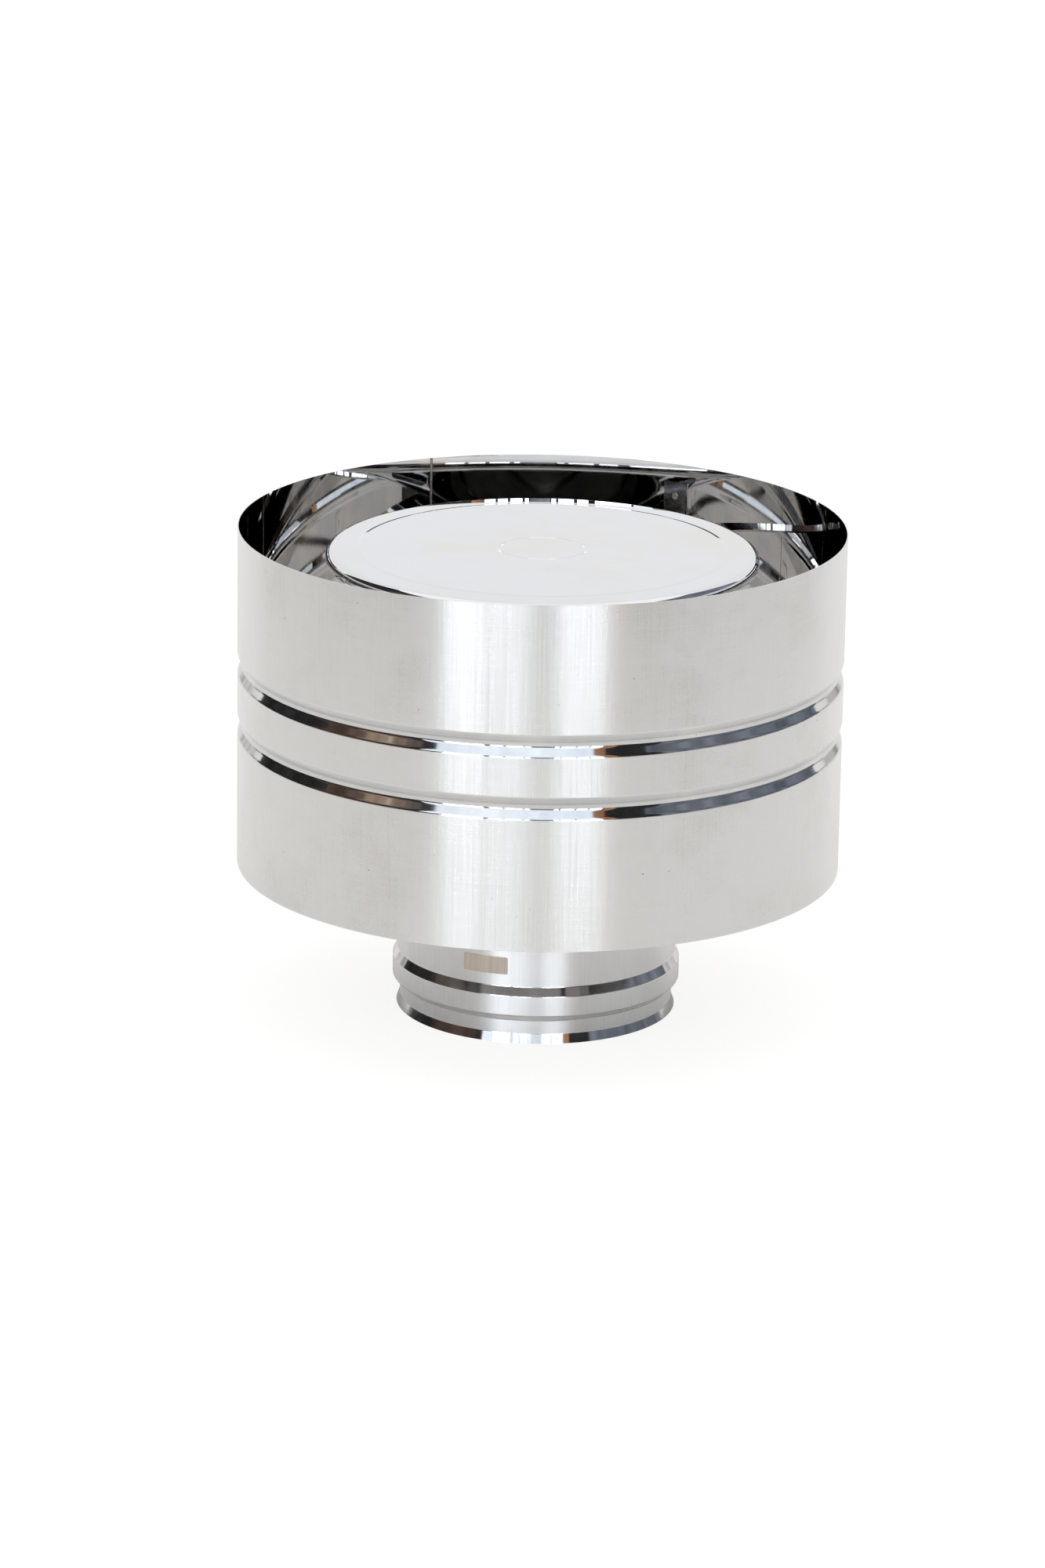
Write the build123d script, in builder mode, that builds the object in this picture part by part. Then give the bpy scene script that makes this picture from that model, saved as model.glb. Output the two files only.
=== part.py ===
from build123d import *
from math import atan2, cos, sin
import os

# Chimney cowl of rolled stainless sheet: a flue pipe with a flared diffuser carries an open
# drum on three arms, and the drum carries a flat cap with an upside-down cone under it.
# Millimetres, +Z up, origin on the flue axis at the pipe's lower end.

# Sheet gauges
drum_gauge = 0.6
cap_gauge = 0.6
diffuser_gauge = 0.6
pipe_gauge = 0.8
strap_gauge = 1.5

# Gap left between two sheets that are spot welded face to face
faying_gap = 0.05

# Flue pipe, and the rolled end that joins the next pipe down
pipe_bore = 200.0
pipe_length = 233.0
ring_rise = 3.5
ring_width = 14.5
ring_shoulder = 6.2
band_depth = 1.9
band_width = 10.3
band_shoulder = 4.7
lip_flare = 0.5
lip_height = 6.5
roll_radius = 1.6

# Diffuser that slips over the top of the pipe
collar_overlap = 26.0
collar_rise = 2.0
flare_spread = 25.0
flare_height = 23.0
flare_bend = 6.0

# Drum, open at both ends, with grooves rolled round it
drum_diameter = 436.0
drum_height = 248.6
drum_lift = 107.3
groove_count = 2
groove_width = 15.0
groove_depth = 4.5
groove_radius = 5.0
lower_groove_height = 103.3
groove_pitch = 44.7

# Welded seams
weld_radius = 0.7
drum_seam_angle = 112.7
pipe_seam_angle = 98.0
pipe_seam_clearance = 4.0

# Cap: a pressed lid, its edge rolled round the rim of a cone with its point down
cap_diameter = 311.0
lid_depth = 16.9
lid_crown = 0.9
lid_border = 24.0
lid_step = 2.5
lid_bend = 2.5
lid_roll_radius = 5.8
lid_roll_height = 9.4
lid_lip = 7.0
mark_diameter = 62.0
mark_width = 3.0
mark_depth = 0.5
mark_radius = 0.8
cone_depth = 100.0
cone_setback = 3.0
cone_tip_radius = 4.0
cone_bend = 2.0

# Folded straps
strap_count = 3
first_strap_angle = 63.0
strap_bend = 3.0
bracket_width = 18.0
bracket_top_gap = 13.9
bracket_tab = 42.0
bracket_foot = 28.0
arm_width = 25.0
arm_tab = 35.0
arm_lift = 20.0

# Sizes that follow
pipe_radius = pipe_bore / 2 + pipe_gauge
drum_radius = drum_diameter / 2
drum_bore = drum_radius - drum_gauge
drum_top = drum_lift + drum_height
cap_radius = cap_diameter / 2
lid_edge = drum_top - lid_depth
roll_low = lid_edge - lid_roll_height
cone_slope = cone_depth / (cap_radius - cone_tip_radius)
flank_angle = atan2(cone_slope, 1)
strap_angles = [first_strap_angle + i * 360 / strap_count for i in range(strap_count)]


def flank_height(radius, lift):
    """Height of the cone's flank at a radius, lifted square to the lid's lip."""
    return roll_low - (cap_radius - radius) * cone_slope + lift / cos(flank_angle)


def folded_sheet(path, bends, gauge, side):
    """Section in the XZ plane of a sheet that follows a path, with its bends rounded."""
    with BuildSketch(Plane.XZ) as section:
        with BuildLine():
            FilletPolyline(*path, radius=bends)
            offset(amount=gauge, side=side)
        make_face()
    return section.sketch


def weld_seam(radius, angle, low, high):
    """One straight run of weld up a rolled wall, added to the part that is being built."""
    with Locations(Plane.XY.offset(low)):
        with PolarLocations(radius, 1, start_angle=angle):
            Cylinder(weld_radius, high - low, align=(Align.CENTER, Align.CENTER, Align.MIN))


def keep_strip(width, angle):
    """Cut a turned profile down to one straight strip that points outwards at an angle."""
    with Locations(Location((0, 0, 0), (0, 0, angle))):
        Box(
            drum_radius,
            width,
            drum_top,
            align=(Align.MIN, Align.CENTER, Align.MIN),
            mode=Mode.INTERSECT,
        )


# Flue pipe
band_radius = pipe_radius - band_depth
ring_radius = pipe_radius + ring_rise
lip_radius = pipe_radius + lip_flare
band_low = lip_height
band_high = band_low + band_width
ring_low = band_high + band_shoulder
ring_high = ring_low + ring_width
wall_low = ring_high + ring_shoulder
lip_run = (lip_radius - band_radius) / lip_height
pipe_path = [
    (pipe_radius, pipe_length),
    (pipe_radius, wall_low),
    (ring_radius, ring_high),
    (ring_radius, ring_low),
    (band_radius, band_high),
    (band_radius, band_low),
    (lip_radius + lip_run * pipe_gauge, -pipe_gauge),
]
collar_low = pipe_length - collar_overlap

with BuildPart() as flue_pipe:
    revolve(folded_sheet(pipe_path, roll_radius, pipe_gauge, Side.RIGHT), axis=Axis.Z)
    split(bisect_by=Plane.XY, keep=Keep.TOP)
    weld_seam(
        pipe_radius - pipe_gauge / 2,
        pipe_seam_angle,
        wall_low + pipe_seam_clearance,
        collar_low - pipe_seam_clearance,
    )
flue_pipe.part.label = "flue_pipe"

# Diffuser
collar_radius = pipe_radius + faying_gap
collar_high = pipe_length + collar_rise
flare_radius = collar_radius + flare_spread
flare_top = collar_high + flare_height

with BuildPart() as diffuser:
    diffuser_path = [
        (collar_radius, collar_low),
        (collar_radius, collar_high),
        (flare_radius, flare_top),
    ]
    revolve(folded_sheet(diffuser_path, flare_bend, diffuser_gauge, Side.RIGHT), axis=Axis.Z)
diffuser.part.label = "diffuser"

# Drum
groove_heights = [drum_lift + lower_groove_height + i * groove_pitch for i in range(groove_count)]


def drum_wall_path():
    """The drum's outer face from the lower rim to the upper rim, dipping into each groove."""
    path = [(drum_radius, drum_lift)]
    for height in groove_heights:
        path.append((drum_radius, height - groove_width / 2))
        path.append((drum_radius - groove_depth, height))
        path.append((drum_radius, height + groove_width / 2))
    path.append((drum_radius, drum_top))
    return path


def plain_wall_spans():
    """The heights between which the drum's wall runs straight."""
    edges = [drum_lift]
    for height in groove_heights:
        edges += [height - groove_width / 2 - groove_radius, height + groove_width / 2 + groove_radius]
    edges.append(drum_top)
    return [(edges[i], edges[i + 1]) for i in range(0, len(edges), 2)]


with BuildPart() as drum_shell:
    revolve(folded_sheet(drum_wall_path(), groove_radius, drum_gauge, Side.LEFT), axis=Axis.Z)
    for low, high in plain_wall_spans():
        weld_seam(drum_radius - drum_gauge / 2, drum_seam_angle, low, high)
drum_shell.part.label = "drum_shell"

# Cap lid: flat crown, a pressed ring mark, a shallow sloping border and an edge rolled under
lid_top = lid_edge + lid_crown
crown_radius = cap_radius - lid_border
mark_centre = mark_diameter / 2
lid_path = [
    (0, lid_top),
    (mark_centre - mark_width / 2, lid_top),
    (mark_centre, lid_top - mark_depth),
    (mark_centre + mark_width / 2, lid_top),
    (crown_radius, lid_top),
    (crown_radius + lid_step, lid_top - lid_crown / 2),
    (cap_radius, lid_edge),
    (cap_radius, roll_low),
    (cap_radius - lid_lip * cos(flank_angle), roll_low - lid_lip * sin(flank_angle)),
]
lid_bends = [mark_radius] * 3 + [lid_bend] * 2 + [lid_roll_radius] * 2

with BuildPart() as cap_lid:
    revolve(folded_sheet(lid_path, lid_bends, cap_gauge, Side.RIGHT), axis=Axis.Z)
cap_lid.part.label = "cap_lid"

# Cap cone: its rim lies on the lid's lip, inside the roll
cone_lift = cap_gauge + faying_gap
cone_rim = cap_radius - cone_setback
cone_tip = flank_height(cone_tip_radius, cone_lift)
cone_path = [
    (cone_rim, flank_height(cone_rim, cone_lift)),
    (cone_tip_radius, cone_tip),
    (0, cone_tip),
]

with BuildPart() as cap_cone:
    revolve(folded_sheet(cone_path, cone_bend, cap_gauge, Side.RIGHT), axis=Axis.Z)
cap_cone.part.label = "cap_cone"

# Cap brackets: down the drum's wall, across to the cone, then along its flank
bracket_face = drum_bore - faying_gap - strap_gauge
bracket_high = drum_top - bracket_top_gap
bracket_low = bracket_high - bracket_tab
foot_lift = cone_lift - faying_gap
flank_start = cap_radius - (flank_height(cap_radius, foot_lift) - bracket_low) / cone_slope
bracket_path = [
    (bracket_face, bracket_high),
    (bracket_face, bracket_low),
    (flank_start, bracket_low),
    (flank_start - bracket_foot * cos(flank_angle), bracket_low - bracket_foot * sin(flank_angle)),
]


def make_bracket(angle):
    with BuildPart() as bracket:
        revolve(folded_sheet(bracket_path, strap_bend, strap_gauge, Side.LEFT), axis=Axis.Z)
        keep_strip(bracket_width, angle)
    return bracket.part


# Drum arms: up the pipe's wall, across the gap and up the drum's wall
arm_low = drum_lift + arm_lift
arm_high = arm_low + arm_tab
arm_inner = pipe_radius + faying_gap
arm_outer = drum_bore - faying_gap
arm_path = [
    (arm_inner, arm_high),
    (arm_inner, arm_low),
    (arm_outer, arm_low),
    (arm_outer, arm_high),
]


def make_arm(angle):
    with BuildPart() as arm:
        revolve(folded_sheet(arm_path, strap_bend, strap_gauge, Side.LEFT), axis=Axis.Z)
        keep_strip(arm_width, angle)
    return arm.part


straps = []
for number, angle in enumerate(strap_angles, start=1):
    bracket = make_bracket(angle)
    bracket.label = f"cap_bracket_{number}"
    arm = make_arm(angle)
    arm.label = f"drum_arm_{number}"
    straps += [bracket, arm]

# One file for each piece
pieces = [flue_pipe.part, diffuser.part, drum_shell.part, cap_lid.part, cap_cone.part] + straps
os.makedirs("parts", exist_ok=True)
for piece in pieces:
    export_step(piece, f"parts/{piece.label}.step")
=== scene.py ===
"""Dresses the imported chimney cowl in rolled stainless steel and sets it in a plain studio."""

import logging
import math
from dataclasses import dataclass
from enum import Enum

import bmesh
import bpy
import mathutils
import numpy as np
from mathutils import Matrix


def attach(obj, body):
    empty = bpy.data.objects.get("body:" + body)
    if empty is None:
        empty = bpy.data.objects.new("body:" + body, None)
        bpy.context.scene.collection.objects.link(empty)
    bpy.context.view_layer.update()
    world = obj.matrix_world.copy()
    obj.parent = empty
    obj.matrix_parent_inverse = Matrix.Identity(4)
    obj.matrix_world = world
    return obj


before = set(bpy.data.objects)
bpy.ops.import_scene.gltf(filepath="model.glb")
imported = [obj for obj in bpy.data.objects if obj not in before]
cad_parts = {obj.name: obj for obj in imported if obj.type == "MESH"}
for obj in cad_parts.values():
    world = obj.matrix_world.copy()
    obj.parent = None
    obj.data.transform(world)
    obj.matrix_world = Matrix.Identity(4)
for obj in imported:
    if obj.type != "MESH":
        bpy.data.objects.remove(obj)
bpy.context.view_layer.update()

log = logging.getLogger("cowl")

Colour = tuple[float, float, float]
Point = tuple[float, float, float]
Outline = list[tuple[float, float]]
Socket = bpy.types.NodeSocket
Sockets = bpy.types.bpy_prop_collection

MM = 0.001
ORIGIN: Point = (0.0, 0.0, 0.0)
UP: Point = (0.0, 0.0, 1.0)
LEVEL_PART: Point = (1.0, 1.0, 0.0)
SAME_PLACE = 1e-7

# How strongly the shared effects act on each steel finish
LINE_SWING = 0.1
LINE_TINT = 0.04
STREAK_SWING = 0.2
STREAK_SHADE = 0.12
WIPE_SWING = 0.11
WIPE_TINT = 0.85
SPECK_ROUGHNESS = 0.3
SPECK_TINT = 0.6
BLUSH_TINT = 0.22
BEAD_TINT = 0.7
BEAD_ROUGHNESS = 0.32

# Tints that those effects bring, and what wiping and welding multiply a colour by
LINE_GREY: Colour = (0.4, 0.39, 0.38)
DUST: Colour = (0.34, 0.31, 0.28)
BLUSH_STRAW: Colour = (0.66, 0.58, 0.47)
BEAD_GREY: Colour = (0.4, 0.37, 0.35)
WIPED: Colour = (0.938, 0.927, 0.91)
SCALED_STRAW: Colour = (1.1, 1.02, 0.92)

# Sizes of the welds, and where the straps that are spot welded stand
BEAD_RADIUS = 0.71 * MM
BEAD_RIPPLE = 1.3 * MM
SPOT_RADIUS = 2.6 * MM
SPOT_DEPTH = 0.12 * MM
SPOT_STEEL: Colour = (0.6, 0.58, 0.55)
STRAP_ANGLES = (63.0, 183.0, 303.0)
DRUM_TAB_FACE = 215.85 * MM


class Lay(Enum):
    """Which way a sheet's rolling lines run on a piece, as the factors on x, y and z."""

    ROUND = (26.0, 26.0, 2600.0)
    ACROSS = (30.0, 2400.0, 30.0)
    UPRIGHT = (620.0, 620.0, 9.0)


class Mixed(Enum):
    """What a Mix node mixes, as the numbers of its two inputs and of its output."""

    FLOAT = (2, 3, 0)
    VECTOR = (4, 5, 1)
    RGBA = (6, 7, 2)


class Bench:
    """Adds nodes to one tree and wires them, with a short call for each kind.

    Args:
        tree: The node tree that the nodes go into.
    """

    def __init__(self, tree: bpy.types.NodeTree) -> None:
        self.tree = tree

    def add(self, kind: str, inputs: dict | None = None, **settings: object) -> bpy.types.Node:
        """Add one node.

        Args:
            kind: Blender's type name for the node, without the word ShaderNode.
            inputs: Input names or numbers, each with a value or a socket to wire in.
            settings: Properties of the node itself.

        Returns:
            The new node.
        """
        node = self.tree.nodes.new(f"ShaderNode{kind}")
        for name, value in settings.items():
            setattr(node, name, value)
        for name, value in (inputs or {}).items():
            self.feed(node.inputs[name], value)
        return node

    def feed(self, target: Socket, value: object) -> None:
        """Wire a socket into a target socket, or set a plain value on it."""
        if isinstance(value, bpy.types.NodeSocket):
            self.tree.links.new(value, target)
        else:
            target.default_value = value

    def math(self, operation: str, *values: object) -> Socket:
        """Return the socket of one Math node."""
        return self.add("Math", dict(enumerate(values)), operation=operation).outputs[0]

    def times(self, first: object, second: object) -> Socket:
        """Multiply two numbers."""
        return self.math("MULTIPLY", first, second)

    def vector(self, operation: str, *values: object, out: str = "Vector") -> Socket:
        """Return one output of a Vector Math node."""
        return self.add("VectorMath", dict(enumerate(values)), operation=operation).outputs[out]

    def dot(self, first: object, second: object) -> Socket:
        """Return the dot product of two vectors."""
        return self.vector("DOT_PRODUCT", first, second, out="Value")

    def span(
        self,
        value: Socket,
        low: float,
        high: float,
        start: float = 0.0,
        end: float = 1.0,
        shape: str = "SMOOTHSTEP",
    ) -> Socket:
        """Map a value and hold the ends.

        Args:
            value: The value.
            low: Where it gives start.
            high: Where it gives end.
            start: What comes out at low.
            end: What comes out at high.
            shape: SMOOTHSTEP for a smooth way between the two, or LINEAR.

        Returns:
            The mapped value.
        """
        limits = {"From Min": low, "From Max": high, "To Min": start, "To Max": end}
        node = self.add("MapRange", {"Value": value, **limits}, interpolation_type=shape)
        return node.outputs["Result"]

    def sway(self, value: Socket, swing: float) -> Socket:
        """Turn a noise into a factor from 1 minus a swing to 1 plus it."""
        return self.span(value, 0.3, 0.7, 1.0 - swing, 1.0 + swing)

    def noise(self, vector: Socket, scale: object, detail: float = 2.0, roughness: float = 0.5) -> Socket:
        """Return the value of a 3-D noise."""
        settings = {"Scale": scale, "Detail": detail, "Roughness": roughness}
        return self.add("TexNoise", {"Vector": vector, **settings}).outputs["Fac"]

    def mix(self, mixed: Mixed, factor: object, first: object, second: object) -> Socket:
        """Mix two values of a kind by a factor."""
        low, high, out = mixed.value
        node = self.add("Mix", {0: factor, low: first, high: second}, data_type=mixed.name)
        return node.outputs[out]

    def blend(self, factor: object, first: object, second: object) -> Socket:
        """Mix two colours by a factor."""
        return self.mix(Mixed.RGBA, factor, first, second)

    def between(self, factor: object, first: object, second: object) -> Socket:
        """Mix two numbers by a factor."""
        return self.mix(Mixed.FLOAT, factor, first, second)

    def tint(self, colour: Socket, mask: Socket, amount: float, other: Colour) -> Socket:
        """Mix a plain colour into another by a mask times an amount."""
        return self.blend(self.times(mask, amount), colour, (*other, 1.0))


def new_group(
    name: str, inputs: dict[str, tuple[str, object]], outputs: dict[str, str]
) -> tuple[Bench, Sockets, Sockets]:
    """Start a shader node group with named sockets.

    Args:
        name: Name of the group.
        inputs: Input names, each with its kind and its default.
        outputs: Output names, each with its kind.

    Returns:
        The group's bench, the sockets that give its inputs, and those that take its outputs.
    """
    group = bpy.data.node_groups.new(name, "ShaderNodeTree")
    for label, (kind, value) in inputs.items():
        socket = group.interface.new_socket(label, in_out="INPUT", socket_type=f"NodeSocket{kind}")
        socket.default_value = value
    for label, kind in outputs.items():
        group.interface.new_socket(label, in_out="OUTPUT", socket_type=f"NodeSocket{kind}")
    source = group.nodes.new("NodeGroupInput")
    sink = group.nodes.new("NodeGroupOutput")
    return Bench(group), source.outputs, sink.inputs


def use_group(bench: Bench, name: str, **inputs: object) -> Sockets:
    """Place one of the shared groups in a tree and return its outputs."""
    return bench.add("Group", inputs, node_tree=bpy.data.node_groups[name]).outputs


def make_turned_places() -> None:
    """Make the group that tells where a point lies on a piece turned about the flue axis.

    Radius is the length of (x, y). Outward is the dot product of the surface normal and the unit
    vector that points away from the axis, so it is 1 on an outer wall and -1 on an inner one. Tilt
    is the size of the normal's upright part, so it is 0 on a straight wall and 1 on a level face.
    """
    kinds = {"Place": "Vector", "Radius": "Float", "Outward": "Float", "Tilt": "Float"}
    bench, _, sink = new_group("turned_places", {}, kinds)
    place = bench.add("TexCoord").outputs
    level = bench.vector("MULTIPLY", place["Object"], LEVEL_PART)
    away = bench.vector("NORMALIZE", level)
    bench.feed(sink["Place"], place["Object"])
    bench.feed(sink["Radius"], bench.vector("LENGTH", level, out="Value"))
    bench.feed(sink["Outward"], bench.dot(place["Normal"], away))
    bench.feed(sink["Tilt"], bench.math("ABSOLUTE", bench.dot(place["Normal"], UP)))


def make_turned_normal() -> None:
    """Make the group that gives a turned piece's true normal, where a mesh has its facets' own.

    With away the unit vector that points away from the flue axis, Normal is the mesh's normal less
    its part across, which a turned face can't have. Where Known is 1, on outer faces with Outward
    over 0.4, it is away times the square root of 1 minus u squared, plus the upright vector times
    u, with u the Upright input. Tilt is the size of the upright part of the normal that comes out.
    """
    numbers = {name: ("Float", 0.0) for name in ("Outward", "Upright", "Known")}
    kinds = {"Normal": "Vector", "Tilt": "Float"}
    bench, source, sink = new_group("turned_normal", {"Place": ("Vector", ORIGIN), **numbers}, kinds)
    away = bench.vector("NORMALIZE", bench.vector("MULTIPLY", source["Place"], LEVEL_PART))
    square = bench.times(source["Upright"], source["Upright"])
    level = bench.math("SQRT", bench.math("SUBTRACT", 1.0, square))
    rise = bench.add("CombineXYZ", {"Z": source["Upright"]}).outputs[0]
    exact = bench.vector("MULTIPLY_ADD", away, level, rise)
    facet = bench.add("NewGeometry").outputs["Normal"]
    lift = bench.vector("MULTIPLY", facet, UP)
    turned = bench.vector("MULTIPLY_ADD", away, bench.dot(facet, away), lift)
    outer = bench.times(bench.span(source["Outward"], 0.2, 0.4), source["Known"])
    normal = bench.vector("NORMALIZE", bench.mix(Mixed.VECTOR, outer, turned, exact))
    bench.feed(sink["Normal"], normal)
    bench.feed(sink["Tilt"], bench.math("ABSOLUTE", bench.dot(normal, UP)))


def make_rolling_lines() -> None:
    """Make the fine lines that the rolling mill leaves, long one way and short the other.

    Lines is three parts of a noise over the place times Stretch, and two parts of a finer one.
    """
    inputs = {"Place": ("Vector", ORIGIN), "Stretch": ("Vector", (1.0, 1.0, 1.0))}
    bench, source, sink = new_group("rolling_lines", inputs, {"Lines": "Float"})
    drawn = bench.vector("MULTIPLY", source["Place"], source["Stretch"])
    coarse = bench.noise(drawn, 1.0, 3.0, 0.6)
    fine = bench.noise(drawn, 3.1, 2.0, 0.6)
    bench.feed(sink["Lines"], bench.math("ADD", bench.times(coarse, 0.6), bench.times(fine, 0.4)))


def make_handling() -> None:
    """Make the traces of handling: cloudy wipes, and sparse small specks of dust and pits."""
    inputs = {"Place": ("Vector", ORIGIN), "Seed": ("Float", 0.0)}
    bench, source, sink = new_group("handling", inputs, {"Wipes": "Float", "Specks": "Float"})
    shift = bench.add("CombineXYZ", {"X": source["Seed"]}).outputs[0]
    moved = bench.vector("ADD", source["Place"], shift)
    warp = bench.add("TexNoise", {"Vector": moved, "Scale": 9.0, "Detail": 2.0}).outputs["Color"]
    bent = bench.vector("MULTIPLY_ADD", warp, (0.05, 0.05, 0.05), moved)
    wipes = bench.span(bench.noise(bent, 14.0, 5.0, 0.62), 0.42, 0.72)
    cells = bench.add("TexVoronoi", {"Vector": moved, "Scale": 115.0}, feature="F1").outputs
    near = bench.span(cells["Distance"], 0.09, 0.02)
    draw = bench.add("SeparateColor", {"Color": cells["Color"]}).outputs[0]
    keep = bench.math("GREATER_THAN", draw, 0.86)
    bench.feed(sink["Wipes"], wipes)
    bench.feed(sink["Specks"], bench.times(near, keep))


def make_sheet_waves() -> None:
    """Make the slow unevenness of thin sheet, as a height in metres from 0 to Depth."""
    inputs = {"Place": ("Vector", ORIGIN), "Pitch": ("Float", 12.0), "Depth": ("Float", 0.1 * MM)}
    bench, source, sink = new_group("sheet_waves", inputs, {"Height": "Float"})
    slow = bench.noise(source["Place"], source["Pitch"], 1.0)
    bench.feed(sink["Height"], bench.times(slow, source["Depth"]))


def make_seam_heat() -> None:
    """Make the tint beside an upright weld.

    Both masks go by the distance from the upright plane through the flue axis and the seam, on the
    seam's own side. Bead is the weld itself, and Blush the heated strip on either side of it.
    """
    inputs = {"Place": ("Vector", ORIGIN), "Seam": ("Vector", (1.0, 0.0, 0.0)), "Reach": ("Float", 6.0 * MM)}
    bench, source, sink = new_group("seam_heat", inputs, {"Bead": "Float", "Blush": "Float"})
    square = bench.vector("CROSS_PRODUCT", source["Seam"], UP)
    off = bench.math("ABSOLUTE", bench.dot(source["Place"], square))
    side = bench.math("GREATER_THAN", bench.dot(source["Place"], source["Seam"]), 0.0)
    ragged = bench.span(bench.noise(source["Place"], 160.0), 0.3, 0.7, 0.8, 1.25)
    part = bench.math("DIVIDE", bench.times(off, ragged), source["Reach"])
    bench.feed(sink["Bead"], bench.times(side, bench.span(off, 1.1 * MM, 0.6 * MM)))
    bench.feed(sink["Blush"], bench.times(side, bench.span(part, 1.0, 0.15)))


@dataclass(frozen=True)
class Bend:
    """A rounded bend in a turned outline.

    Args:
        low: Height where it starts.
        high: Height where it ends.
        change: How much the upright part of the normal grows over it, evenly with height.
    """

    low: float
    high: float
    change: float


def outline_bends(outline: Outline, radius: float) -> tuple[Bend, ...]:
    """Work out the bends of a turned outline.

    A straight run's normal has the upright part minus dr over its length. Between two runs whose
    normals tip by the angles a and b, the bend takes up radius times tan(|b - a| / 2) of each.

    Args:
        outline: Radius and height of each corner, upwards, both ends included.
        radius: Radius of the bends on the outer face.

    Returns:
        The bends, upwards.
    """
    corners = np.array(outline)
    runs = np.diff(corners, axis=0)
    length = np.hypot(runs[:, 0], runs[:, 1])
    upright, level = -runs[:, 0] / length, runs[:, 1] / length
    reach = radius * np.tan(np.abs(np.diff(np.arcsin(upright))) / 2.0)
    low = corners[1:-1, 1] - reach * level[:-1]
    high = corners[1:-1, 1] + reach * level[1:]
    return tuple(Bend(*(float(v) for v in row)) for row in zip(low, high, np.diff(upright)))


def scaled(colour: Colour, factors: Colour) -> tuple[float, float, float, float]:
    """Multiply a colour channel by channel and make it opaque."""
    return (*(channel * factor for channel, factor in zip(colour, factors)), 1.0)


def start_material(name: str, metallic: float) -> tuple[bpy.types.Material, Bench, bpy.types.Node]:
    """Start a material.

    Args:
        name: Name of the material.
        metallic: How far it is a metal, from 0 to 1.

    Returns:
        The material, the bench of its tree, and its Principled shader.
    """
    material = bpy.data.materials.new(name)
    material.use_nodes = True
    shader = material.node_tree.nodes["Principled BSDF"]
    shader.inputs["Metallic"].default_value = metallic
    return material, Bench(material.node_tree), shader


def wire_surface(
    bench: Bench,
    shader: bpy.types.Node,
    colour: Socket,
    rough: Socket,
    height: Socket,
    normal: Socket | None = None,
) -> None:
    """Wire a surface's colour, roughness and relief into its shader.

    Args:
        bench: The material's bench.
        shader: Its Principled shader.
        colour: The colour.
        rough: The roughness.
        height: The relief, in metres.
        normal: The normal that the relief stands on, or None for the mesh's own.
    """
    bump = bench.add("Bump", {"Height": height, "Distance": 1.0, "Strength": 1.0})
    if normal:
        bench.feed(bump.inputs["Normal"], normal)
    for name, value in (("Base Color", colour), ("Roughness", rough), ("Normal", bump.outputs["Normal"])):
        bench.feed(shader.inputs[name], value)


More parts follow.
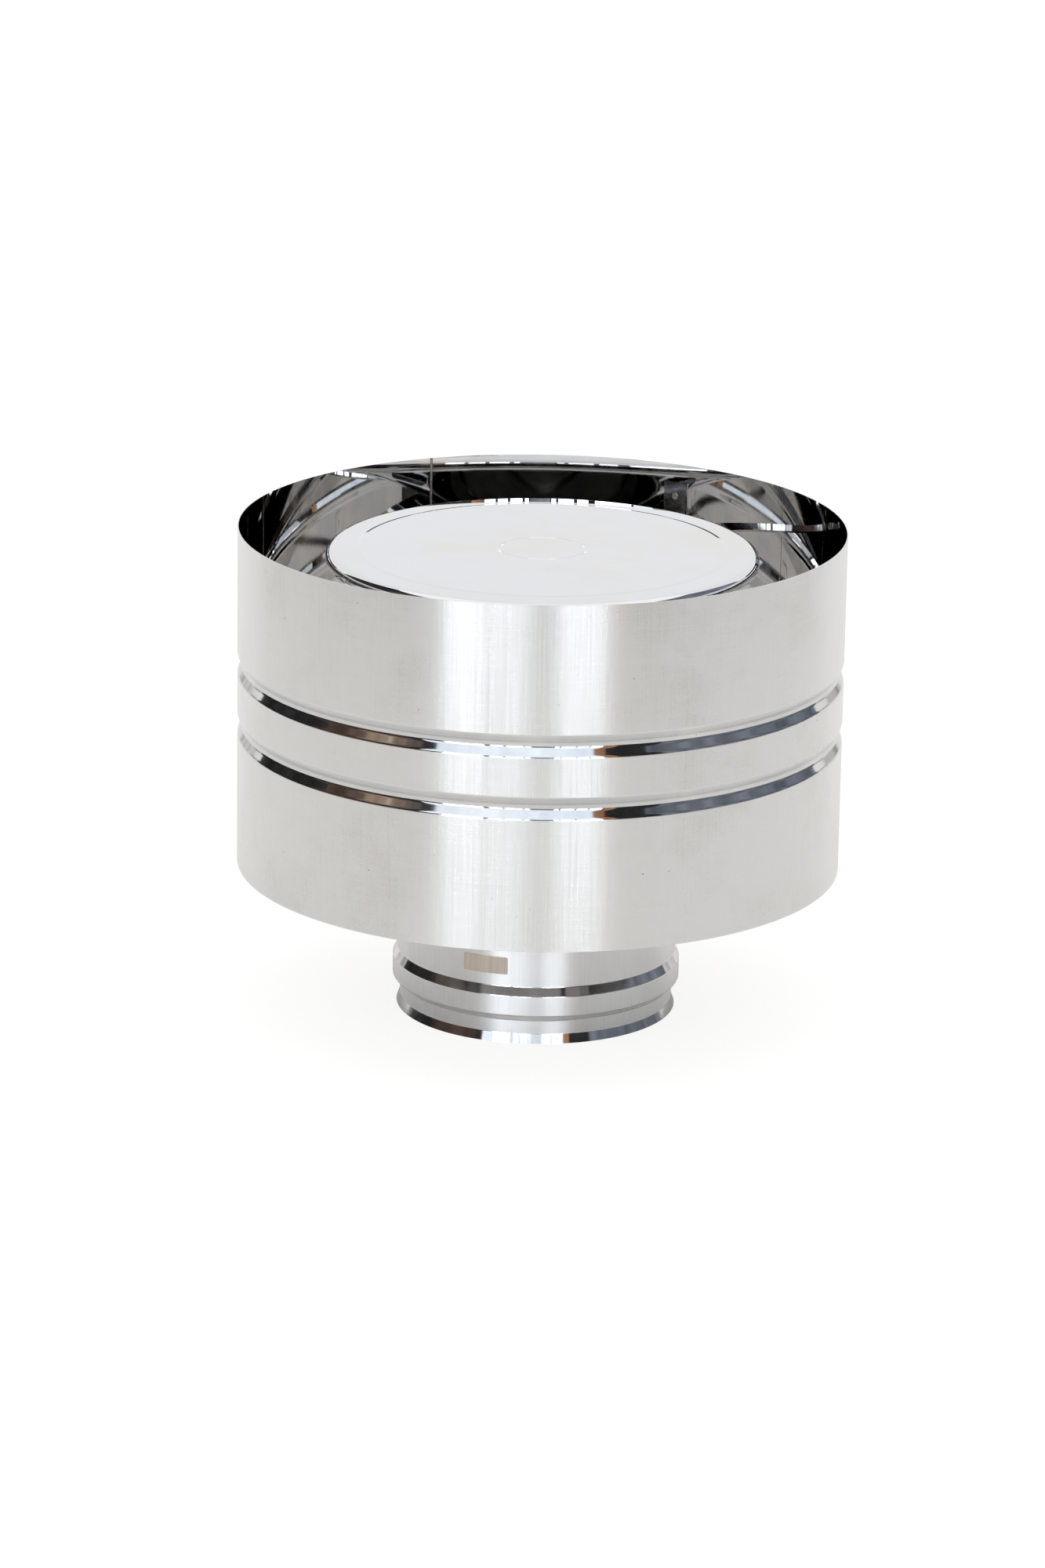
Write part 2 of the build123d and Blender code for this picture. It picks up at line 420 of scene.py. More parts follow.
@dataclass(frozen=True)
class SteelFinish:
    """A rolled stainless finish: satin on plain outer walls, bright where rolls or tools have polished.

    Args:
        name: Name of the material.
        colour: Colour of the clean metal where it is satin.
        mirror: Colour of the clean metal where it is bright.
        gloss: Roughness of bright inner faces.
        rolled: Roughness of outer faces that rolls have bent.
        satin: Roughness of plain outer walls.
        satin_radius: Outer walls are satin from this radius outwards. The default leaves none satin.
        lay: Direction of the rolling lines.
        line_depth: Height of the rolling lines.
        wave_depth: Height of the sheet's unevenness.
        wave_pitch: Waves per metre.
        stretch: How much longer highlights run across the rolling lines, from 0 to 1.
        streak: Strength of the upright streaks in the satin, from 0 to 1.
        seam: Unit vector from the flue axis to the weld, or None where there is none.
        turned: Whether the piece is turned about the flue axis.
        start: Upright part of the normal at the lower end of the outline that the bends are on.
        bends: Bends of the outer outline, for exact normals there, or none where it isn't known.
        seed: Moves the traces of handling.
    """

    name: str
    colour: Colour = (0.83, 0.815, 0.79)
    mirror: Colour = (0.67, 0.665, 0.66)
    gloss: float = 0.016
    rolled: float = 0.045
    satin: float = 0.016
    satin_radius: float = 10.0
    lay: Lay = Lay.ROUND
    line_depth: float = 0.0004 * MM
    wave_depth: float = 0.1 * MM
    wave_pitch: float = 8.0
    stretch: float = 0.0
    streak: float = 0.0
    seam: Point | None = None
    turned: bool = True
    start: float = 0.0
    bends: tuple[Bend, ...] = ()
    seed: float = 0.0

    def make(self) -> bpy.types.Material:
        """Build the material.

        Returns:
            The finished material.
        """
        material, bench, shader = start_material(self.name, metallic=1.0)
        places = use_group(bench, "turned_places")
        place = places["Place"]
        lines = use_group(bench, "rolling_lines", Place=place, Stretch=self.lay.value)["Lines"]
        streaks = use_group(bench, "rolling_lines", Place=place, Stretch=Lay.UPRIGHT.value)["Lines"]
        handling = use_group(bench, "handling", Place=place, Seed=self.seed)
        waves = use_group(bench, "sheet_waves", Place=place, Pitch=self.wave_pitch, Depth=self.wave_depth)

        normal, tilt = self._normal(bench, places)
        outer = bench.span(places["Outward"], -0.1, 0.1)
        wall = bench.span(places["Radius"], self.satin_radius - 0.5 * MM, self.satin_radius)
        satin = bench.times(bench.times(outer, wall), bench.span(tilt, 0.2, 0.08))
        rough = bench.between(satin, bench.between(outer, self.gloss, self.rolled), self.satin)
        for noise, swing in ((lines, LINE_SWING), (streaks, STREAK_SWING * self.streak)):
            rough = bench.times(rough, bench.sway(noise, swing))
        rough = bench.math("ADD", rough, bench.times(handling["Wipes"], self.satin * WIPE_SWING))
        rough = bench.math("ADD", rough, bench.times(handling["Specks"], SPECK_ROUGHNESS))

        colour = bench.blend(satin, (*self.mirror, 1.0), (*self.colour, 1.0))
        colour = bench.blend(bench.span(lines, 0.7, 0.3, 0.0, LINE_TINT), colour, (*LINE_GREY, 1.0))
        shade = 1.0 - STREAK_SHADE * self.streak
        dimmed = bench.times(bench.span(streaks, 0.56, 0.36), satin)
        colour = bench.blend(dimmed, colour, scaled(self.colour, (shade, shade, shade)))
        wiped = bench.times(handling["Wipes"], WIPE_TINT)
        colour = bench.blend(wiped, colour, scaled(self.colour, WIPED))
        colour = bench.tint(colour, handling["Specks"], SPECK_TINT, DUST)
        if self.seam:
            heat = use_group(bench, "seam_heat", Place=place, Seam=self.seam)
            colour = bench.tint(colour, heat["Blush"], BLUSH_TINT, BLUSH_STRAW)
            colour = bench.tint(colour, heat["Bead"], BEAD_TINT, BEAD_GREY)
            rough = bench.between(heat["Bead"], rough, BEAD_ROUGHNESS)

        height = bench.math("ADD", waves["Height"], bench.times(lines, self.line_depth))
        wire_surface(bench, shader, colour, rough, height, normal)
        if self.stretch:
            shader.inputs["Anisotropic"].default_value = self.stretch
            shader.inputs["Anisotropic Rotation"].default_value = 0.25
            tangent = bench.add("Tangent", direction_type="RADIAL", axis="Z")
            bench.feed(shader.inputs["Tangent"], tangent.outputs[0])
        return material

    def _normal(self, bench: Bench, places: Sockets) -> tuple[Socket | None, Socket]:
        """Work out the sheet's true normal.

        Args:
            bench: The material's bench.
            places: Outputs of the turned_places group.

        Returns:
            The normal, or None to keep the mesh's, and the size of its upright part.
        """
        if not self.turned:
            return None, places["Tilt"]
        height = bench.add("SeparateXYZ", {0: places["Place"]}).outputs["Z"]
        upright = self.start
        for bend in self.bends:
            turn = bench.span(height, bend.low, bend.high, 0.0, bend.change, shape="LINEAR")
            upright = bench.math("ADD", upright, turn)
        passed = {label: places[label] for label in ("Place", "Outward")}
        exact = use_group(bench, "turned_normal", **passed, Upright=upright, Known=float(bool(self.bends)))
        return exact["Normal"], exact["Tilt"]


def strap_finish(name: str, seed: float) -> SteelFinish:
    """Return the finish of a folded strap: duller than the sheet, with upright rolling lines."""
    tone: Colour = (0.7, 0.69, 0.67)
    return SteelFinish(name, mirror=tone, gloss=0.08, rolled=0.08, lay=Lay.UPRIGHT, turned=False, seed=seed)


@dataclass(frozen=True)
class WeldFinish:
    """The dull, slightly scaled steel of a weld.

    Args:
        name: Name of the material.
        colour: Colour of the clean weld.
        seed: Moves the specks.
    """

    name: str
    colour: Colour = (0.5, 0.47, 0.44)
    seed: float = 3.0

    def make(self) -> bpy.types.Material:
        """Build the material: grey, with raised straw patches that are duller, and dark specks."""
        material, bench, shader = start_material(self.name, metallic=1.0)
        place = bench.add("TexCoord").outputs["Object"]
        patches = bench.span(bench.noise(place, 900.0, 3.0, 0.6), 0.35, 0.68)
        handling = use_group(bench, "handling", Place=place, Seed=self.seed)
        colour = bench.blend(patches, (*self.colour, 1.0), scaled(self.colour, SCALED_STRAW))
        colour = bench.blend(handling["Specks"], colour, (0.2, 0.19, 0.18, 1.0))
        rough = bench.math("ADD", bench.times(patches, 0.18), 0.22)
        wire_surface(bench, shader, colour, rough, bench.times(patches, 0.03 * MM))
        return material


@dataclass(frozen=True)
class FilmFinish:
    """A plain silvery-buff label film, with faint upright bands, dulled in patches by handling.

    Args:
        name: Name of the material.
        colour: Colour of the darker bands.
        seed: Moves the dulled patches.
    """

    name: str
    colour: Colour = (0.62, 0.525, 0.44)
    seed: float = 9.4

    def make(self) -> bpy.types.Material:
        """Build the material."""
        material, bench, shader = start_material(self.name, metallic=0.35)
        place = bench.add("TexCoord").outputs["Object"]
        bands = use_group(bench, "rolling_lines", Place=place, Stretch=Lay.UPRIGHT.value)["Lines"]
        wipes = use_group(bench, "handling", Place=place, Seed=self.seed)["Wipes"]
        light = scaled(self.colour, (1.18, 1.18, 1.18))
        colour = bench.blend(bench.span(bands, 0.35, 0.65), (*self.colour, 1.0), light)
        colour = bench.tint(colour, wipes, 0.3, (0.5, 0.42, 0.34))
        rough = bench.span(wipes, 0.0, 1.0, 0.34, 0.5)
        wire_surface(bench, shader, colour, rough, bench.times(bands, 0.01 * MM))
        return material


def direction(degrees: float) -> Point:
    """Return the level unit vector at an angle from +X."""
    return (math.cos(math.radians(degrees)), math.sin(math.radians(degrees)), 0.0)


def grid_mesh(name: str, points: np.ndarray, closed: bool = False) -> bpy.types.Mesh:
    """Join a grid of points into quads.

    Args:
        name: Name of the mesh.
        points: Rows by columns by 3.
        closed: Whether each row joins its last point to its first.

    Returns:
        The mesh.
    """
    rows, columns = points.shape[:2]
    index = np.arange(rows * columns).reshape(rows, columns)
    if closed:
        index = np.concatenate([index, index[:, :1]], axis=1)
    corners = [index[:-1, :-1], index[:-1, 1:], index[1:, 1:], index[1:, :-1]]
    quads = np.stack(corners, axis=-1).reshape(-1, 4)
    mesh = bpy.data.meshes.new(name)
    mesh.from_pydata(points.reshape(-1, 3).tolist(), [], quads.tolist())
    return mesh


def add_piece(name: str, points: np.ndarray, material: bpy.types.Material) -> None:
    """Make a closed piece of the cowl from a grid whose rows are rings and whose end rows are poles.

    Args:
        name: Name of the piece.
        points: Rows by columns by 3, each row a ring, the first and last rows a single place.
        material: The piece's material.
    """
    mesh = grid_mesh(name, points, closed=True)
    skin = bmesh.new()
    skin.from_mesh(mesh)
    bmesh.ops.remove_doubles(skin, verts=skin.verts, dist=SAME_PLACE)
    bmesh.ops.recalc_face_normals(skin, faces=skin.faces)
    skin.to_mesh(mesh)
    skin.free()
    mesh.shade_smooth()
    mesh.materials.append(material)
    piece = bpy.data.objects.new(name, mesh)
    bpy.context.collection.objects.link(piece)
    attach(piece, "root")
    log.info("%s: %d faces", name, len(mesh.polygons))


def dress(node: str, material: bpy.types.Material) -> None:
    """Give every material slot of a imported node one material."""
    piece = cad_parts[node]
    for slot in piece.material_slots:
        slot.material = material
    log.info("%s wears %s", node, material.name)


def weld_bead(angle: float, radius: float, low: float, high: float) -> np.ndarray:
    """Work out an upright run of weld, rippled by the welder's even pace.

    A point is the bead's middle plus r (cos t, sin t), where r is the bead's radius times 1 plus
    0.07 times the absolute sine of pi times the height over the ripple's length. Each ripple is
    bowed: it lies lower by a third of its length times the cosine of t. Both ends close on the
    middle.

    Args:
        angle: Angle of the weld from +X, in degrees.
        radius: Radius of the bead's middle from the flue axis.
        low: Its lower end.
        high: Its upper end.

    Returns:
        Rings of points from the lower end to the upper.
    """
    rows = int((high - low) / BEAD_RIPPLE * 5)
    rise = np.linspace(low, high, rows)[:, None]
    turn = np.linspace(0.0, 2.0 * np.pi, 12, endpoint=False)[None, :]
    bowed = rise + BEAD_RIPPLE / 3.0 * np.cos(turn)
    wave = 1.0 + 0.07 * np.abs(np.sin(np.pi * bowed / BEAD_RIPPLE))
    wave[[0, -1], :] = 0.0
    away = direction(angle)
    x = away[0] * radius + BEAD_RADIUS * wave * np.cos(turn)
    y = away[1] * radius + BEAD_RADIUS * wave * np.sin(turn)
    return np.stack([x, y, np.broadcast_to(rise, x.shape)], axis=-1)


def spot_mark(centre: Point, outward: Point) -> np.ndarray:
    """Work out the mark that a spot welder's tip leaves: a shallow dish inside a raised ring.

    With s from 0 at the middle to 1 at the edge, the face stands proud by the depth times 0.15
    plus 1.4 s squared times 1 minus the 8th power of s. The edge and the back lie 0.3 of the depth
    inside the sheet.

    Args:
        centre: Middle of the mark, on an upright face.
        outward: Unit vector square to the face.

    Returns:
        Rings of points from the middle of the face, over the edge, to the middle of the back.
    """
    away, along = np.array(outward), np.array(UP)
    across = np.cross(along, away)
    face = np.linspace(0.0, 1.0, 11)
    part = np.concatenate([face, np.linspace(1.0, 0.0, 4)])[:, None]
    proud = SPOT_DEPTH * (0.15 + 1.4 * part**2 * (1.0 - part**8))
    proud[len(face) - 1 :] = -0.3 * SPOT_DEPTH
    turn = np.linspace(0.0, 2.0 * np.pi, 28, endpoint=False)[None, :, None]
    flat = SPOT_RADIUS * part[..., None] * (np.cos(turn) * across + np.sin(turn) * along)
    return np.array(centre) + flat + proud[..., None] * away


@dataclass(frozen=True)
class StrapTab:
    """The upright end of a strap, spot welded to a wall.

    Args:
        name: Start of the names of its spot welds.
        angle: The strap's angle from +X, in degrees.
        face: Radius of the face that shows.
        side: 1 where that face looks away from the flue axis, -1 where it looks towards it.
        heights: Height of each spot weld.
    """

    name: str
    angle: float
    face: float
    side: float
    heights: tuple[float, ...]

    def mark(self, material: bpy.types.Material) -> None:
        """Mark its spot welds."""
        x, y, _ = direction(self.angle)
        for level, height in enumerate(self.heights, start=1):
            points = spot_mark((x * self.face, y * self.face, height), (self.side * x, self.side * y, 0.0))
            add_piece(f"{self.name}_{level}", points, material)


@dataclass
class Drum:
    """The open drum that turns the wind away from the flue.

    Args:
        radius: Radius of its outer face.
        sheet: Gauge of its sheet.
        low: Height of its lower rim.
        high: Height of its upper rim.
        grooves: Height of the middle of each groove.
        groove_width: Width of a groove between the corners of its outline.
        groove_depth: Depth of a groove at the corner of its outline.
        groove_bend: Radius of a groove's bends.
        seam_angle: Angle of its seam from +X, in degrees.
    """

    radius: float = 218.0 * MM
    sheet: float = 0.6 * MM
    low: float = 107.3 * MM
    high: float = 355.9 * MM
    grooves: tuple[float, float] = (210.6 * MM, 255.3 * MM)
    groove_width: float = 15.0 * MM
    groove_depth: float = 4.5 * MM
    groove_bend: float = 5.0 * MM
    seam_angle: float = 112.7

    def outline(self) -> Outline:
        """Return the corners of the drum's outer face, upwards: straight, with a V at each groove."""
        corners = [(self.radius, self.low)]
        for groove in self.grooves:
            corners.append((self.radius, groove - self.groove_width / 2))
            corners.append((self.radius - self.groove_depth, groove))
            corners.append((self.radius, groove + self.groove_width / 2))
        return [*corners, (self.radius, self.high)]

    def finish(self) -> None:
        """Dress the drum: satin outside, bright inside and in its two grooves."""
        steel = SteelFinish(
            "drum_sheet",
            satin=0.24,
            satin_radius=self.radius - 0.2 * MM,
            stretch=0.88,
            streak=0.6,
            rolled=0.075,
            seam=direction(self.seam_angle),
            bends=outline_bends(self.outline(), self.groove_bend),
            seed=1.7,
        )
        dress("drum_shell", steel.make())

    def weld(self) -> None:
        """Lay the rippled bead over each plain run of the drum's seam, a millimetre short at each end."""
        steel = WeldFinish("drum_weld").make()
        half = self.groove_width / 2 + self.groove_bend
        edges = [self.low, *(groove + s * half for groove in self.grooves for s in (-1, 1)), self.high]
        for number, (low, high) in enumerate(zip(edges[::2], edges[1::2]), start=1):
            points = weld_bead(self.seam_angle, self.radius - self.sheet / 2, low + MM, high - MM)
            add_piece(f"drum_weld_{number}", points, steel)


@dataclass
class Cap:
    """The pressed lid, the cone that hangs under it, and the brackets that hold both.

    Args:
        tab_heights: Height of each spot weld on a bracket's tab.
    """

    tab_heights: tuple[float, float] = (311.0 * MM, 332.0 * MM)

    def finish(self) -> None:
        """Dress the lid, the cone and the brackets."""
        lid = SteelFinish(
            "lid_sheet",
            mirror=(0.8, 0.8, 0.815),
            gloss=0.03,
            rolled=0.03,
            lay=Lay.ACROSS,
            wave_depth=0.0,
            seed=4.1,
        )
        dress("cap_lid", lid.make())
        dress("cap_cone", SteelFinish("cone_sheet", gloss=0.02, seed=6.3).make())
        strap = strap_finish("bracket_strap", 8.8).make()
        for number in range(1, len(STRAP_ANGLES) + 1):
            dress(f"cap_bracket_{number}", strap)

    def weld(self) -> None:
        """Mark the two spot welds on each bracket's tab."""
        steel = WeldFinish("bracket_weld", colour=SPOT_STEEL).make()
        for number, angle in enumerate(STRAP_ANGLES, start=1):
            StrapTab(f"bracket_spot_{number}", angle, DRUM_TAB_FACE, -1.0, self.tab_heights).mark(steel)


@dataclass
class Flue:
    """The pipe, its diffuser, the arms that carry the drum, and the label on the pipe.

    Args:
        radius: Radius of the pipe's outer wall.
        sheet: Gauge of its sheet.
        seam_angle: Angle of its seam from +X, in degrees.
        seam_run: Lower and upper end of the bead on it.
        lip: Radius and height of the lip's edge.
        band: Radius of the sunk band, and the heights where it starts and ends.
        ring: The same of the raised ring.
        wall: The heights where the plain wall starts and ends.
        roll: Radius of the bends.
        tab_heights: Height of each spot weld on an arm's tab.
        tab_faces: Radius of the faces of an arm's tabs, on the pipe and on the drum.
        label_angle: Angle of the label's middle from +X, in degrees.
        label_height: Height of its middle.
        label_size: Its width and height.
        label_film: Its thickness.
        label_gap: How far its back stands off the wall.
    """

    radius: float = 100.8 * MM
    sheet: float = 0.8 * MM
    seam_angle: float = 98.0
    seam_run: tuple[float, float] = (45.8 * MM, 203.0 * MM)
    lip: tuple[float, float] = (101.3 * MM, 0.0)
    band: tuple[float, float, float] = (98.9 * MM, 6.5 * MM, 16.8 * MM)
    ring: tuple[float, float, float] = (104.3 * MM, 21.5 * MM, 36.0 * MM)
    wall: tuple[float, float] = (42.2 * MM, 233.0 * MM)
    roll: float = 1.6 * MM
    tab_heights: tuple[float, float] = (139.0 * MM, 153.0 * MM)
    tab_faces: tuple[float, float] = (102.35 * MM, DRUM_TAB_FACE)
    label_angle: float = 249.05
    label_height: float = 57.4 * MM
    label_size: tuple[float, float] = (33.6 * MM, 12.8 * MM)
    label_film: float = 0.09 * MM
    label_gap: float = 0.02 * MM

    def outline(self) -> Outline:
        """Return the corners of the pipe's outer face, upwards: lip, sunk band, raised ring and wall."""
        corners = [self.lip]
        for radius, low, high in (self.band, self.ring):
            corners += [(radius, low), (radius, high)]
        return corners + [(self.radius, height) for height in self.wall]

    def finish(self) -> None:
        """Dress the pipe, the diffuser and the arms."""
        flare_run, flare_rise = self.lip[0] - self.band[0], self.band[1]
        pipe = SteelFinish(
            "pipe_sheet",
            colour=(0.96, 0.945, 0.92),
            gloss=0.03,
            rolled=0.09,
            satin=0.36,
            satin_radius=98.0 * MM,
            stretch=0.85,
            streak=0.6,
            seam=direction(self.seam_angle),
            start=flare_run / math.hypot(flare_run, flare_rise),
            bends=outline_bends(self.outline(), self.roll),
            seed=2.9,
        )
        dress("flue_pipe", pipe.make())
        dress("diffuser", SteelFinish("diffuser_sheet", gloss=0.03, seed=5.2).make())
        strap = strap_finish("arm_strap", 3.3).make()
        for number in range(1, len(STRAP_ANGLES) + 1):
            dress(f"drum_arm_{number}", strap)

    def weld(self) -> None:
        """Lay the bead on the pipe's seam and mark the spot welds on the arms' tabs."""
        points = weld_bead(self.seam_angle, self.radius - self.sheet / 2, *self.seam_run)
        add_piece("pipe_weld", points, WeldFinish("pipe_weld_steel").make())
        steel = WeldFinish("arm_weld", colour=SPOT_STEEL).make()
        for number, angle in enumerate(STRAP_ANGLES, start=1):
            for tab, (face, side) in enumerate(zip(self.tab_faces, (1.0, -1.0)), start=1):
                StrapTab(f"arm_spot_{number}_{tab}", angle, face, side, self.tab_heights).mark(steel)

    def stick_label(self) -> None:
        """Stick the bare label on the pipe's wall.

        The label is a rectangle with small round corners, wrapped on the wall: with s from 0 at
        its middle to 1 at its edge and t round it, q is the 24th root of the sum of the 24th
        powers of cos t and sin t. The arc along the wall is half the width times s cos t / q, and
        the height is half the height times s sin t / q. Its face stands off its back by the film's
        thickness times 1 minus the 20th power of s.
        """
        face = np.concatenate([np.linspace(0.0, 0.8, 9), [0.9, 0.96, 0.985, 1.0]])
        part = np.concatenate([face, np.linspace(0.9, 0.0, 4)])[:, None]
        turn = np.linspace(0.0, 2.0 * np.pi, 96, endpoint=False)[None, :]
        square = (np.cos(turn) ** 24 + np.sin(turn) ** 24) ** (1 / 24)
        wide = self.label_size[0] / 2 * part * np.cos(turn) / square
        tall = self.label_size[1] / 2 * part * np.sin(turn) / square
        proud = self.label_film * (1.0 - part**20) + self.label_gap
        proud[len(face) :] = self.label_gap
        angle = math.radians(self.label_angle) + wide / self.radius
        reach = self.radius + proud
        height = self.label_height + tall
        points = np.stack([reach * np.cos(angle), reach * np.sin(angle), height], axis=-1)
        add_piece("label_film", points, FilmFinish("label_foil").make())


def polar_grid(reach: float | np.ndarray, turn: np.ndarray, rise: float | np.ndarray) -> np.ndarray:
    """Work out the points (reach sin t, -reach cos t, rise) of a surface round the flue axis.

    Args:
        reach: Distance from the axis, one for all or a column.
        turn: The angles t, in degrees to the right of the camera's side.
        rise: Height, one for all or a column.

    Returns:
        Rows by columns by 3.
    """
    t = np.radians(turn)[None, :]
    return np.stack(np.broadcast_arrays(reach * np.sin(t), -reach * np.cos(t), rise), axis=-1)


@dataclass(frozen=True)
class Card:
    """A strip of the round room, seen only in the metal.

    Args:
        name: Name of the card.
        turn: Where the strip starts and ends, in degrees to the right of the camera's side.
        rise: How high it starts and ends, in metres.
        reach: How far it stands from the flue axis, in metres.
        colour: Its colour.
        strength: Its brightness.
    """

    name: str
    turn: tuple[float, float]
    rise: tuple[float, float]
    reach: float
    colour: Colour
    strength: float = 1.0

    def points(self) -> np.ndarray:
        """Work out the strip, with a column for every 3 degrees or so."""
        columns = max(2, int((self.turn[1] - self.turn[0]) / 3) + 1)
        return polar_grid(self.reach, np.linspace(*self.turn, columns), np.array(self.rise)[:, None])


ROOM_REACH = 5.0
TRIM_REACH = 4.95
PANE_REACH = 4.9
DARK: Colour = (0.028, 0.027, 0.028)
WINDOW: Colour = (0.84, 0.925, 1.04)
ALL_RISE = (0.0, 6.2)
LOW_RISE = (0.0, 2.2)
HIGH_RISE = (2.2, 6.2)
PANE_RISE = (0.15, 1.68)
ROOM = (
    Card("low_haze", (126.0, 232.0), (0.0, 0.85), ROOM_REACH, (0.58, 0.58, 0.58)),
    Card("room_dark", (-128.0, -91.0), ALL_RISE, ROOM_REACH, DARK),
    Card("wall_brown", (-91.0, -50.0), LOW_RISE, ROOM_REACH, (0.075, 0.052, 0.046)),
    Card("shelf_brown", (-91.0, -74.0), HIGH_RISE, ROOM_REACH, (0.12, 0.085, 0.065)),
    Card("shelf_tan", (-74.0, -57.0), HIGH_RISE, ROOM_REACH, (0.3, 0.22, 0.165)),
    Card("shelf_pale", (-64.5, -63.0), (3.0, 6.0), TRIM_REACH, (0.6, 0.52, 0.45)),
    Card("shelf_grey", (-57.0, -50.0), HIGH_RISE, ROOM_REACH, (0.16, 0.13, 0.12)),
    Card("room_front", (-50.0, 46.0), ALL_RISE, ROOM_REACH, DARK),
    Card("curtain", (23.6, 28.5), ALL_RISE, TRIM_REACH, (0.42, 0.22, 0.12)),
    Card("room_blue", (46.0, 126.0), ALL_RISE, ROOM_REACH, (0.17, 0.19, 0.235)),
    Card("skylight", (-44.0, 23.5), (1.74, 6.1), PANE_REACH, WINDOW, 1.3),
    Card("window_middle", (-2.6, 5.2), PANE_RISE, PANE_REACH, (0.6, 0.65, 0.8), 0.5),
    Card("pane_0", (-44.0, -36.0), (1.2, 1.7), PANE_REACH, WINDOW, 1.7),
    Card("pane_1", (-35.0, -20.4), PANE_RISE, PANE_REACH, WINDOW, 5.6),
    Card("pane_2", (-17.6, -13.3), PANE_RISE, PANE_REACH, WINDOW, 6.2),
    Card("pane_3", (-11.9, -5.9), PANE_RISE, PANE_REACH, WINDOW, 4.5),
    Card("pane_4", (-4.9, -3.2), PANE_RISE, PANE_REACH, WINDOW, 4.0),
    Card("pane_5", (5.8, 7.2), PANE_RISE, PANE_REACH, WINDOW, 5.0),
    Card("pane_6", (8.3, 13.0), PANE_RISE, PANE_REACH, WINDOW, 6.0),
    Card("pane_7", (14.1, 17.9), PANE_RISE, PANE_REACH, WINDOW, 6.0),
    Card("pane_8", (18.9, 23.2), PANE_RISE, PANE_REACH, WINDOW, 6.0),
)


@dataclass
class Studio:
    """A plain pale floor, soft light all round, and the dim room that the metal mirrors.

    Args:
        floor_edge: How far the pale floor reaches each way.
        table: Distance from the flue axis where the room's dark floor starts.
        dark_lift: How far the dark floor lies over the pale one.
        ceiling_edge: How far the ceiling reaches.
        ceiling_height: Its height.
        streaked: How far a card's streaks go from its colour, as a part of it.
        even: The same for cards that are brighter than their colour.
        flat: The same for the ceiling.
    """

    floor_edge: float = 20.0
    table: float = 3.4
    dark_lift: float = 0.001
    ceiling_edge: float = 5.2
    ceiling_height: float = 6.25
    streaked: float = 0.45
    even: float = 0.1
    flat: float = 0.05

    def build(self) -> None:
        """Make the sky, the floor and the room's cards."""
        self._sky()
        self._floor()
        self._far_floor()
        self._ceiling()
        for card in ROOM:
            change = self.even if card.strength > 1.0 else self.streaked
            glow = self._glow(f"{card.name}_glow", card.colour, card.strength, change)
            self._hide(self._show(card.name, card.points(), glow))

    def _sky(self) -> None:
        """Light evenly from all round, and show plain white to the camera."""
        world = bpy.data.worlds.new("studio_air")
        bpy.context.scene.world = world
        world.use_nodes = True
        bench = Bench(world.node_tree)
        seen = bench.add("LightPath").outputs["Is Camera Ray"]
        back = world.node_tree.nodes["Background"]
        bench.feed(back.inputs["Color"], (0.975, 0.985, 1.0, 1.0))
        bench.feed(back.inputs["Strength"], bench.between(seen, 0.95, 1.05))

    def _floor(self) -> None:
        """Lay the floor: matt white that keeps the shadow, lifted to white for the camera."""
        material, bench, shader = start_material("floor_white", metallic=0.0)
        shader.inputs["Roughness"].default_value = 0.9
        shader.inputs["Specular IOR Level"].default_value = 0.0
        shader.inputs["Emission Color"].default_value = (1.0, 0.995, 0.985, 1.0)
        seen = bench.add("LightPath").outputs["Is Camera Ray"]
        colour = bench.blend(seen, (0.93, 0.925, 0.91, 1.0), (0.27, 0.27, 0.27, 1.0))
        bench.feed(shader.inputs["Base Color"], colour)
        bench.feed(shader.inputs["Emission Strength"], bench.times(seen, 0.82))
        edges = np.array([-self.floor_edge, self.floor_edge])
        corners = np.stack(np.broadcast_arrays(edges[None, :], edges[:, None], 0.0), axis=-1)
        self._show("floor", corners, material)

    def _far_floor(self) -> None:
        """Lay the room's dark floor in front of the table, for the metal alone."""
        reach = np.linspace(self.table, ROOM_REACH, 2)[:, None]
        points = polar_grid(reach, np.linspace(-126.0, 125.0, 60), self.dark_lift)
        glow = self._glow("room_floor_dark", (0.05, 0.045, 0.042), 1.0, self.streaked)
        self._hide(self._show("room_floor", points, glow))

    def _ceiling(self) -> None:
        """Hang the room's pale ceiling, for the metal alone."""
        reach = np.linspace(0.0, self.ceiling_edge, 4)[:, None]
        points = polar_grid(reach, np.linspace(180.0, -180.0, 49), self.ceiling_height)
        glow = self._glow("ceiling_glow", (0.97, 0.985, 1.0), 1.14, self.flat)
        self._hide(self._show("ceiling", points, glow))

    @staticmethod
    def _hide(card: bpy.types.Object) -> None:
        """Leave a card to the metal's reflections."""
        card.visible_camera = False
        card.visible_diffuse = False
        card.visible_shadow = False

    @staticmethod
    def _glow(name: str, colour: Colour, strength: float, change: float) -> bpy.types.Material:
        """Make a glowing material for a card, with soft upright streaks like a furnished room's.

        Args:
            name: Name of the material.
            colour: Its middle colour.
            strength: Its brightness.
            change: How far the streaks go above and below the middle colour, as a part of it.

        Returns:
            The material.
        """
        material, bench, shader = start_material(name, metallic=0.0)
        shader.inputs["Base Color"].default_value = (0.0, 0.0, 0.0, 1.0)
        shader.inputs["Specular IOR Level"].default_value = 0.0
        drawn = bench.vector("MULTIPLY", bench.add("TexCoord").outputs["Object"], (1.0, 1.0, 0.35))
        streaks = bench.span(bench.noise(drawn, 1.6, 4.0, 0.6), 0.3, 0.7)
        low, high = (scaled(colour, (f, f, f)) for f in (1.0 - change, 1.0 + change))
        bench.feed(shader.inputs["Emission Color"], bench.blend(streaks, low, high))
        shader.inputs["Emission Strength"].default_value = strength
        return material

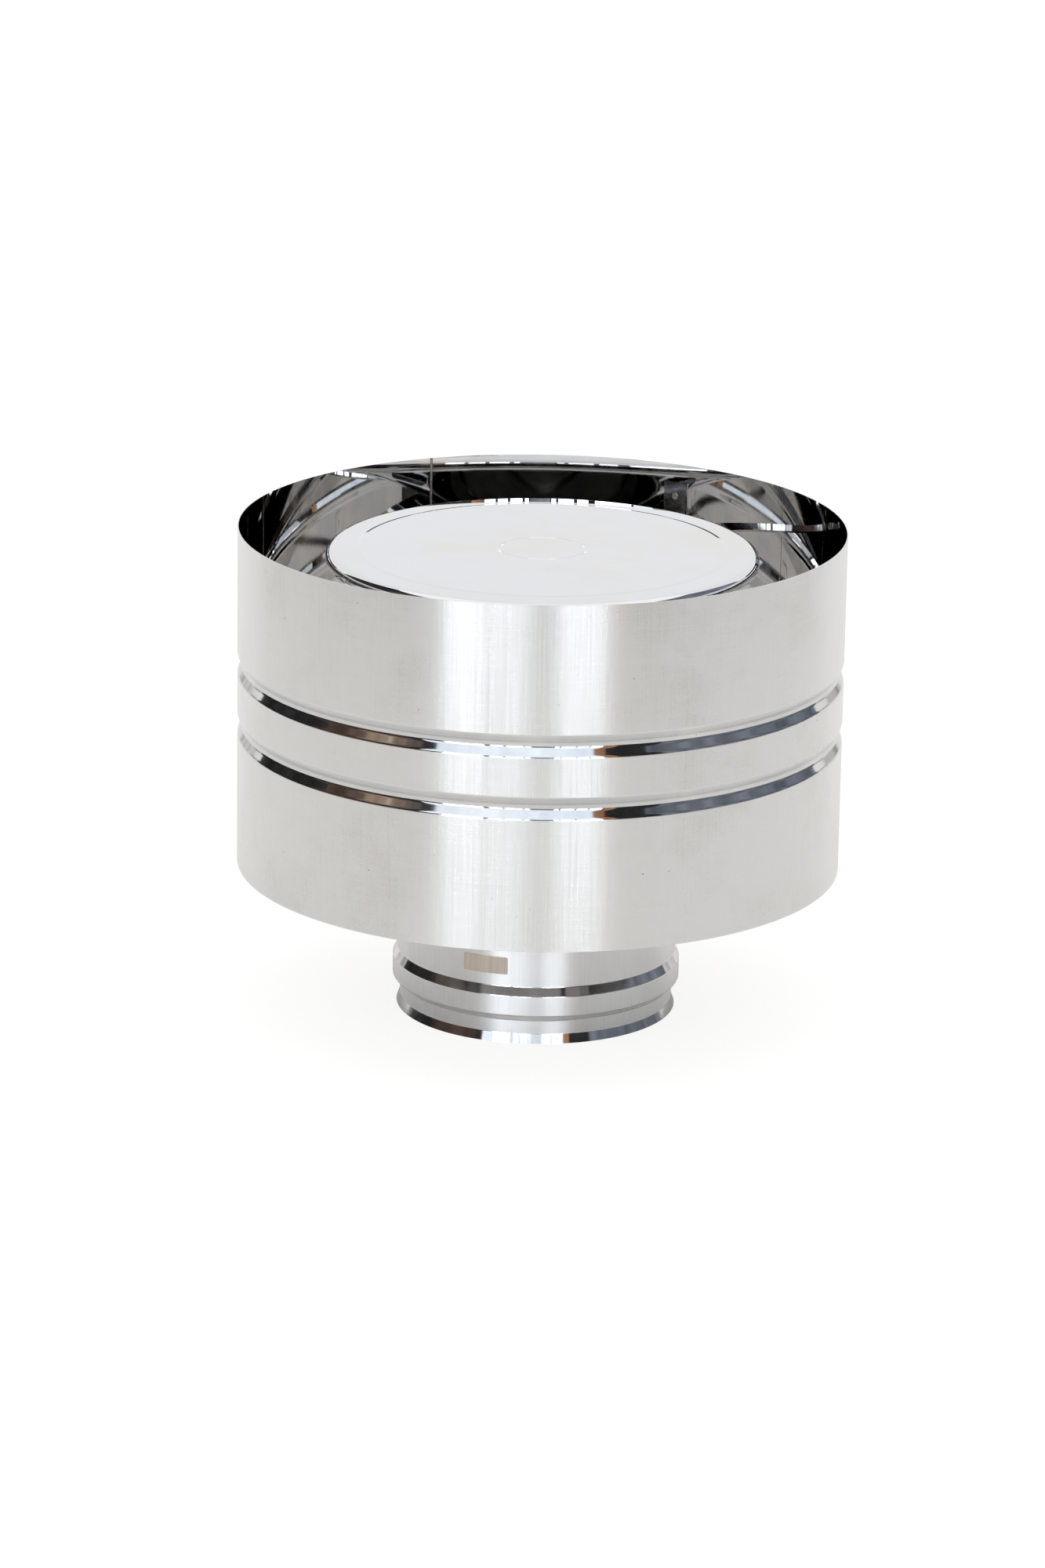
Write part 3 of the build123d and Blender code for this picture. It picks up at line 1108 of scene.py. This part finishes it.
    @staticmethod
    def _show(name: str, points: np.ndarray, material: bpy.types.Material) -> bpy.types.Object:
        """Make one surface of the stage from a grid of points."""
        mesh = grid_mesh(name, points)
        mesh.materials.append(material)
        surface = bpy.data.objects.new(name, mesh)
        bpy.context.collection.objects.link(surface)
        return surface


@dataclass
class PhotoCamera:
    """The camera at the photograph's viewing angle.

    Args:
        elevation: Angle at which it looks down on the target, in degrees.
        focal: Focal length in pixels of a picture 2000 pixels high.
        centre: Pixel that the target falls on.
        roll: Turn of the picture, in degrees.
        distance: Distance from the target, in metres.
        target: The drum's lower centre.
        picture: Width and height of the picture, in pixels.
        sensor: Height of the sensor, in millimetres.
    """

    elevation: float = 17.317
    focal: float = 8042.9
    centre: tuple[float, float] = (685.53, 1095.18)
    roll: float = -0.9546
    distance: float = 4.578
    target: Point = (0.0, 0.0, 0.1073)
    picture: tuple[int, int] = (1333, 2000)
    sensor: float = 36.0

    def build(self) -> None:
        """Place the camera so that the target lands on its pixel."""
        rise = math.radians(self.elevation)
        place = np.array(self.target) + self.distance * np.array([0.0, -math.cos(rise), math.sin(rise)])
        forward = np.array([0.0, math.cos(rise), -math.sin(rise)])
        right = np.array([1.0, 0.0, 0.0])
        level = mathutils.Matrix([right, np.cross(right, forward), -forward]).transposed()
        roll = mathutils.Matrix.Rotation(math.radians(self.roll), 3, "Z")
        aside, down = ((pixel - size / 2) / self.focal for pixel, size in zip(self.centre, self.picture))
        aim = mathutils.Vector((aside, -down, -1.0))
        swing = mathutils.Vector((0.0, 0.0, -1.0)).rotation_difference(aim).to_matrix()
        turn = (swing @ roll @ level.transposed()).transposed()
        data = bpy.data.cameras.new("photo_camera")
        data.sensor_fit = "AUTO"
        data.sensor_width = self.sensor
        data.lens = self.focal * self.sensor / self.picture[1]
        data.clip_end = 100.0
        camera = bpy.data.objects.new("photo_camera", data)
        bpy.context.collection.objects.link(camera)
        camera.matrix_world = mathutils.Matrix.Translation(place) @ turn.to_4x4()
        bpy.context.scene.camera = camera


def main() -> None:
    """Build the studio and dress every piece of the cowl."""
    logging.basicConfig(level=logging.INFO, format="%(message)s")
    bpy.context.scene.view_settings.view_transform = "Standard"
    make_turned_places()
    make_turned_normal()
    make_rolling_lines()
    make_handling()
    make_sheet_waves()
    make_seam_heat()
    PhotoCamera().build()
    Studio().build()
    flue = Flue()
    for part in (Drum(), Cap(), flue):
        part.finish()
        part.weld()
    flue.stick_label()


if __name__ == "__main__":
    main()
